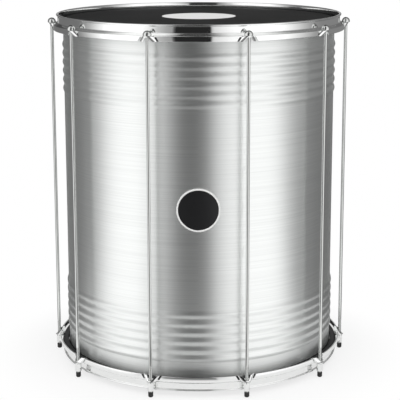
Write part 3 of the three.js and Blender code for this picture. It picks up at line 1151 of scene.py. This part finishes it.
@dataclass
class RodStation:
    """Tension rod with its cup washer, tuning nut and rubber cap, made ten times."""

    rod_radius: float = 3.0 * MM
    head_radius: float = 7.5 * MM
    head_rim: float = 2.3 * MM
    head_round: float = 0.6 * MM
    head_clearance: float = 0.3 * MM
    thread_pitch: float = 1.0 * MM
    thread_depth: float = 0.5 * MM
    thread_end: float = 58.0 * MM
    thread_fade: float = 3.0 * MM
    thread_runout: float = 0.5 * MM
    tip_chamfer: float = 1.0 * MM
    tip_inset: float = 0.6 * MM
    pitch_rows: int = 6
    shank_rows: int = 12
    dome_rows: int = 10
    rod_columns: int = 24
    rod_sharp_degrees: float = 60.0
    bore_radius: float = 3.25 * MM
    bore_round: float = 0.2 * MM
    washer_radius: float = 7.0 * MM
    washer_face_radius: float = 5.2 * MM
    washer_flange: float = 0.8 * MM
    washer_face_round: float = 0.4 * MM
    washer_cup_round: float = 0.5 * MM
    washer_edge_round: float = 0.3 * MM
    nut_flats: float = 10.0 * MM
    nut_chamfer: float = 0.7 * MM
    nut_face_inset: float = 0.25 * MM
    nut_bore_chamfer: float = 0.3 * MM
    nut_row_shares: tuple = (0.0, 0.35, 0.7, 1.0)
    nut_columns: int = 72
    nut_sharp_degrees: float = 25.0
    cap_radius: float = 4.55 * MM
    cap_foot_radius: float = 3.2 * MM
    cap_floor: float = 2.5 * MM
    cap_taper: float = 1.6 * MM
    cap_edge_round: float = 0.5 * MM
    cap_side_round: float = 0.9 * MM
    cap_mouth_round: float = 0.3 * MM
    round_columns: int = 40
    # The shank's chrome is tinted darker than the nut's chrome: painted shade that dims the rods'
    # reflections.
    shank: Finish = Chrome(
        name="shank_chrome_painted_shade", tint=(0.65, 0.66, 0.65), haze_tint=(0.60, 0.61, 0.60),
        waves=Noise(18.0, 1.0), wave_depth=0.02 * MM,
    )
    chrome: Finish = Chrome(name="nut_chrome", waves=Noise(18.0, 1.0), wave_depth=0.02 * MM)
    rubber: Finish = Rubber()

    def rod_mesh(self) -> bpy.types.Mesh:
        """Rod with its thread, a plain shank and a domed head.

        Returns:
            The mesh, with its axis on the origin's and its heights in the frame.
        """
        low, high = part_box("tension_rod_01")
        seat = End.TOP.rim() - Ear.seat_depth + self.head_clearance
        rim_top = seat + self.head_rim
        rows = int((self.thread_end - low.z) / self.thread_pitch * self.pitch_rows)
        thread = spread(low.z + self.tip_chamfer, self.thread_end, rows)
        shank = spread(self.thread_end + self.thread_runout, seat, self.shank_rows)
        head = rounded([
            Corner(self.rod_radius, seat), Corner(self.head_radius, seat, self.head_round),
            Corner(self.head_radius, rim_top),
        ])
        dome = [
            (self.head_radius * math.cos(turn), rim_top + (high.z - rim_top) * math.sin(turn))
            for turn in spread(0, math.pi / 2, self.dome_rows)
        ]
        outline = [
            (0.0, low.z), (self.rod_radius - self.tip_inset, low.z),
            *((self.rod_radius, z) for z in thread + shank), *head[1:], *dome[1:],
        ]

        def threaded(r: float, z: float, angle: float) -> float:
            """Radius with the thread, which fades out at its upper end."""
            if not thread[0] <= z <= thread[-1]:
                return r
            phase = (z / self.thread_pitch - angle / TURN) % 1
            return r - self.thread_depth * smooth((thread[-1] - z) / self.thread_fade) * abs(2 * phase - 1)

        return turned_mesh(
            "tension_rod", outline, self.rod_columns, loop=False, shape=threaded,
            sharp_degrees=self.rod_sharp_degrees,
        )

    def washer_mesh(self) -> bpy.types.Mesh:
        """Cup washer: a rounded cup under a flat flange."""
        low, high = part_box("cup_washer_01")
        return turned_mesh("cup_washer", rounded([
            Corner(self.bore_radius, low.z, self.bore_round),
            Corner(self.washer_face_radius, low.z, self.washer_face_round),
            Corner(self.washer_radius, high.z - self.washer_flange, self.washer_cup_round),
            Corner(self.washer_radius, high.z, self.washer_edge_round),
            Corner(self.bore_radius, high.z, self.bore_round),
        ]), self.round_columns)

    def nut_mesh(self) -> bpy.types.Mesh:
        """Long hexagonal nut with chamfered ends.

        Returns:
            The mesh, with its axis on the origin's and its heights in the frame.
        """
        low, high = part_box("tuning_nut_01")
        flat = self.nut_flats / 2
        face = flat - self.nut_face_inset
        side = math.pi / 3
        taper = (flat / math.cos(side / 2) - face) / self.nut_chamfer

        def six_sided(r: float, z: float, angle: float) -> float:
            """Radius of the hexagon, cut by the cones of its ends."""
            if r < flat:
                return r
            hexagon = flat / math.cos((angle + side / 2) % side - side / 2)
            return min(hexagon, face + min(z - low.z, high.z - z) * taper)

        depths = [share * self.nut_chamfer for share in self.nut_row_shares]
        heights = [low.z + depth for depth in depths] + [high.z - depth for depth in reversed(depths)]
        mouth = self.bore_radius + self.nut_bore_chamfer
        outline = [
            (self.bore_radius, low.z + self.nut_bore_chamfer), (mouth, low.z), *((flat, z) for z in heights),
            (mouth, high.z), (self.bore_radius, high.z - self.nut_bore_chamfer),
        ]
        return turned_mesh(
            "tuning_nut", outline, self.nut_columns, shape=six_sided, sharp_degrees=self.nut_sharp_degrees,
        )

    def cap_mesh(self) -> bpy.types.Mesh:
        """Rubber cap with a rounded foot and mouth."""
        low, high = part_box("rubber_cap_01")
        return turned_mesh("rubber_cap", rounded([
            Corner(0.0, low.z),
            Corner(self.cap_foot_radius, low.z, self.cap_edge_round),
            Corner(self.cap_radius, low.z + self.cap_taper, self.cap_side_round),
            Corner(self.cap_radius, high.z, self.cap_edge_round),
            Corner(self.bore_radius, high.z, self.cap_mouth_round),
            Corner(self.bore_radius, low.z + self.cap_floor),
            Corner(0.0, low.z + self.cap_floor),
        ]), self.round_columns, loop=False)

    def make(self) -> None:
        """Puts the ten stations in their places; like pieces share a mesh."""
        kinds = (
            ("rod", "tension_rod", self.rod_mesh(), self.shank, Slot.ROD, None),
            ("washer_cup", "cup_washer", self.washer_mesh(), self.chrome, Slot.ROD, "washer"),
            ("nut_hex", "tuning_nut", self.nut_mesh(), self.chrome, Slot.ROD, "nut"),
            ("cap_foot", "rubber_cap", self.cap_mesh(), self.rubber, Slot.CAP, None),
        )
        circle = rod_circle_radius()
        for station in range(ROD_COUNT):
            number, angle = f"{station + 1:02d}", rod_angle(station)
            at = Matrix.Translation(around(circle, angle, 0.0))
            for name, node, mesh, finish, slot, body in kinds:
                turn = Matrix.Rotation(angle if name == "nut_hex" else 0.0, 4, "Z")
                place_piece(
                    f"{name}_{number}", mesh, finish, [f"{node}_{number}"],
                    f"{body}_{number}" if body else "drum", at @ turn,
                )


@dataclass
class Badge:
    """Plain round plate that follows the shell, with a raised pale rim round a black field."""

    thickness: float = 1.2 * MM
    rim_width: float = 3.0 * MM
    rim_proud: float = 0.8 * MM
    rim_inset: float = 0.05 * MM
    rim_inner_round: float = 0.5 * MM
    rim_outer_round: float = 0.7 * MM
    columns: int = 96
    rings: int = 14
    field_enamel: Finish = Enamel()
    rim_enamel: Finish = Enamel(
        name="pale_enamel", dark=(0.88, 0.88, 0.87), light=(0.93, 0.93, 0.92), specular=0.5,
    )

    def __post_init__(self) -> None:
        """Reads the badge's box."""
        low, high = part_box("badge")
        self.radius = (high.x - low.x) / 2
        self.height = (low.z + high.z) / 2
        self.face_radius = -low.y - self.rim_proud
        self.back_radius = self.face_radius - self.thickness

    def add_disc(self, name: str, outline: Sequence[tuple], finish: Finish) -> None:
        """Turns an outline round the badge's middle, laid on the shell's curve, and dresses it.

        Args:
            name: Name of the piece.
            outline: Points (distance from the badge's middle, distance from the drum's axis).
            finish: Its finish.
        """
        sections = []
        for angle in spread(0.0, TURN, self.columns)[:-1]:
            places = [(away * math.sin(angle), away * math.cos(angle), depth) for away, depth in outline]
            sections.append([
                Vector((aside, -math.sqrt(depth ** 2 - aside ** 2), self.height + rise))
                for aside, rise, depth in places
            ])
        skin = SheetMesh()
        skin.add_sections(sections, loop=False)
        place_piece(name, skin.build(name), finish, ["badge"])

    def make(self) -> None:
        """Builds the field and the rim."""
        inner, outer = self.radius - self.rim_width, self.radius - self.rim_inset
        away = spread(0.0, inner, self.rings)
        face = [(r, self.face_radius) for r in away]
        back = [(r, self.back_radius) for r in reversed(away)]
        self.add_disc("badge_field", face + back, self.field_enamel)
        crest = self.face_radius + self.rim_proud
        rim = rounded([
            Corner(inner, self.back_radius),
            Corner(inner, crest, self.rim_inner_round),
            Corner(outer, crest, self.rim_outer_round),
            Corner(outer, self.back_radius),
        ])
        self.add_disc("badge_rim", rim + rim[:1], self.rim_enamel)


# Studio

@dataclass(frozen=True)
class FloorFinish(Finish):
    """Pale floor that takes a soft shadow near the drum and goes to plain white further out."""

    name: str = "pale_floor"
    colour: tuple = (0.93, 0.93, 0.93)
    speck_colour: tuple = (0.95, 0.95, 0.95)
    specks: Noise = Noise(90.0, 3.0)
    shadow_reach: float = 0.26
    white_reach: float = 0.43
    least_white: float = 0.78
    glossy_share: float = 0.45

    def dress(self, sheet: ShaderSheet) -> Flow:
        """Mixes the lit floor with white by the distance from the drum."""
        place = sheet.place()
        away = sheet.axis(place, 0).away(sheet.axis(place, 1))
        colour = sheet.mix(sheet.noise(place, self.specks), self.colour, self.speck_colour)
        outside = sheet.step(away, self.shadow_reach, self.white_reach)
        share = self.least_white + outside * (1 - self.least_white)
        return sheet.flow(
            "MixShader",
            in_0=sheet.seen(self.glossy_share) * share,
            in_1=sheet.flow("BsdfDiffuse", Color=colour),
            in_2=sheet.flow("Emission", Color=(1.0, 1.0, 1.0), Strength=1.0),
        )


@dataclass(frozen=True)
class TentFinish(Finish):
    """What the chrome mirrors: white cards at the sides, a black flag in front, grey between.

    Levels are pairs of an angle from the front in degrees and a grey level.
    """

    name: str = "studio_tent"
    strength: float = 1.24
    floor_start: float = 0.36
    floor_end: float = 0.43
    near_level: float = 0.72
    wall_foot: float = 0.01
    wall_start: float = 0.02
    least_floor: float = 0.16
    cards_top: float = 0.66
    high_start: float = 0.95
    right_start: float = 62.0
    right_full: float = 76.0
    right_low: float = 0.46
    low_start: float = 0.42
    low_full: float = 0.22
    levels: tuple = (
        (-180, 0.72), (-165, 0.45), (-155, 0.18), (-139, 0.135), (-102, 0.145), (-94, 0.25), (-87, 0.41),
        (-79, 0.68), (-70, 0.97), (-44, 1.0), (-37, 0.82), (-30, 0.53), (-22.7, 0.34), (-17.3, 0.27),
        (-16.7, 0.016), (9, 0.016), (10, 0.58), (15, 0.70), (21, 0.83), (30, 0.96), (61, 0.98),
        (68, 0.82), (76, 0.62), (84, 0.44), (92, 0.30), (99, 0.22), (107, 0.19), (155, 0.18),
        (165, 0.45), (180, 0.72),
    )
    high_levels: tuple = (
        (-180, 0.03), (-160, 0.03), (-135, 0.10), (-90, 0.25), (-66, 0.98), (-34, 0.88), (-18, 0.06),
        (11, 0.06), (32, 0.80), (62, 0.88), (90, 0.22), (120, 0.17), (152, 0.13), (170, 0.03), (180, 0.03),
    )

    @staticmethod
    def share(degrees: float) -> float:
        """Share of the way round from behind, of an angle from the front."""
        return 0.5 + degrees / 360

    def dress(self, sheet: ShaderSheet) -> Flow:
        """Ramps over the angle round the drum, one for the cards and one for what is above them."""
        place = sheet.place()
        across, along, up = (sheet.axis(place, index) for index in range(3))
        share = across.angle(-along) / TURN + 0.5
        cards, high = (
            sheet.flow("ValToRGB", stops=[(self.share(place), level) for place, level in levels], Fac=share)
            for levels in (self.levels, self.high_levels)
        )
        start, full = self.share(self.right_start), self.share(self.right_full)
        dimmed = sheet.step(share, start, full) * sheet.step(up, self.low_start, self.low_full)
        floor = sheet.step(up, self.wall_start, self.wall_foot) * self.least_floor
        cards = (cards * (1 - dimmed * self.right_low)).larger(floor)
        near = sheet.step(across.away(along), self.floor_end, self.floor_start)
        colour = sheet.mix(near, cards, (self.near_level,) * 3)
        colour = sheet.mix(sheet.step(up, self.cards_top, self.high_start), colour, high)
        return sheet.flow("Emission", Color=colour, Strength=self.strength)


@dataclass
class Studio:
    """Floor, the tent that only reflections see, soft lamps and a white world."""

    floor_radii: tuple = (0.0, 0.5, 1.0, 2.0, 4.0, 8.0, 14.0)
    floor_drop: float = 0.2 * MM
    floor_columns: int = 96
    tent_floor: float = 0.35
    tent_foot: float = 1.0 * MM
    tent_radius: float = 1.3
    tent_top: float = 3.0
    tent_wall_share: float = 0.7
    tent_roof_share: float = 0.8
    tent_columns: int = 144
    lamp_degrees: tuple = (("lamp_left", -48), ("lamp_right", 42))
    lamp_distance: float = 2.4
    lamp_height: float = 2.9
    lamp_aim: float = 0.3
    lamp_size: float = 2.4
    lamp_power: float = 30.0
    world_level: float = 0.55

    def make_floor(self) -> None:
        """Round floor in rings under the drum."""
        outline = [(r, -self.floor_drop) for r in self.floor_radii]
        self._stage("studio_floor", outline, self.floor_columns, FloorFinish())

    def make_tent(self) -> None:
        """Wall, roof and floor cards round the drum."""
        outline = [
            (self.tent_floor, self.tent_foot), (self.tent_radius, self.tent_foot),
            (self.tent_radius, self.tent_top * self.tent_wall_share),
            (self.tent_radius * self.tent_roof_share, self.tent_top), (0.0, self.tent_top),
        ]
        tent = self._stage("studio_tent", outline, self.tent_columns, TentFinish())
        for rays in ("camera", "diffuse", "transmission", "volume_scatter", "shadow"):
            setattr(tent, f"visible_{rays}", False)

    def make_lamps(self) -> None:
        """Two large soft lamps, one on each side of the camera."""
        for name, degrees in self.lamp_degrees:
            data = bpy.data.lights.new(name, "AREA")
            data.shape = "DISK"
            data.size = self.lamp_size
            data.energy = self.lamp_power
            lamp = bpy.data.objects.new(name, data)
            lamp.location = around(self.lamp_distance, math.radians(degrees), self.lamp_height)
            aim = Vector((0.0, 0.0, self.lamp_aim)) - lamp.location
            lamp.rotation_euler = aim.to_track_quat("-Z", "Y").to_euler()
            lamp.visible_glossy = False
            bpy.context.scene.collection.objects.link(lamp)
            log.info("%s: %.0f W", name, data.energy)

    def make_world(self) -> None:
        """White where the camera or a reflection looks past everything, soft light elsewhere."""
        world = bpy.data.worlds.new("studio_world")
        world.use_nodes = True
        sheet = ShaderSheet(world.node_tree)
        level = self.world_level + sheet.seen() * (1 - self.world_level)
        sheet.output(sheet.flow("Background", Color=(1.0, 1.0, 1.0), Strength=level), "OutputWorld")
        bpy.context.scene.world = world

    def _stage(self, name: str, outline: Sequence[tuple], columns: int, finish: Finish) -> bpy.types.Object:
        """Puts a turned object in the scene that isn't part of the drum.

        Args:
            name: Name of the object.
            outline: Points (r, z).
            columns: Sections round the axis.
            finish: Its finish.

        Returns:
            The object.
        """
        mesh = turned_mesh(name, outline, columns, loop=False)
        mesh.materials.append(finish.material())
        thing = bpy.data.objects.new(name, mesh)
        bpy.context.scene.collection.objects.link(thing)
        log.info("%s: %d faces", name, len(mesh.polygons))
        return thing

    def make(self) -> None:
        """Builds the studio."""
        self.make_floor()
        self.make_tent()
        self.make_lamps()
        self.make_world()


@dataclass
class PhotoCamera:
    """Camera at the photograph's place, fitted to the rods, hoops and caps in a square frame."""

    frame_pixels: int = 400
    focal_pixels: float = 1281.0
    horizon_pixel: float = 167.98
    distance: float = 2.4148
    height: float = 0.8518
    station_degrees: float = 0.306
    heading_degrees: float = 0.263
    pitch_degrees: float = 11.468
    roll_degrees: float = -0.116
    sensor: float = 36.0
    reach: float = 100.0

    def make(self) -> None:
        """Makes the camera and sets it as the scene's."""
        data = bpy.data.cameras.new("photo_camera")
        data.sensor_width = self.sensor
        data.lens = self.focal_pixels / self.frame_pixels * self.sensor
        data.shift_y = (self.horizon_pixel - self.frame_pixels / 2) / self.frame_pixels
        data.clip_end = self.reach
        camera = bpy.data.objects.new("photo_camera", data)
        bpy.context.scene.collection.objects.link(camera)
        camera.matrix_world = (
            Matrix.Translation(around(self.distance, math.radians(self.station_degrees), self.height))
            @ Matrix.Rotation(math.radians(self.heading_degrees), 4, "Z")
            @ Matrix.Rotation(math.radians(90 - self.pitch_degrees), 4, "X")
            @ Matrix.Rotation(math.radians(self.roll_degrees), 4, "Z")
        )
        bpy.context.scene.camera = camera
        log.info("photo_camera: lens %.1f mm", data.lens)


def main() -> None:
    """Builds the drum and the studio."""
    logging.basicConfig(level=logging.INFO, format="%(message)s")
    PhotoCamera().make()
    Shell().make()
    for end in End:
        hoop, head = Hoop(end), Head(end)
        hoop.make()
        head.make()
        FleshHoop(end).make(hoop, head)
    RodStation().make()
    Badge().make()
    Studio().make()
    bpy.context.scene.view_settings.view_transform = "Standard"


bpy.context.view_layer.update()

if __name__ == "__main__":
    main()
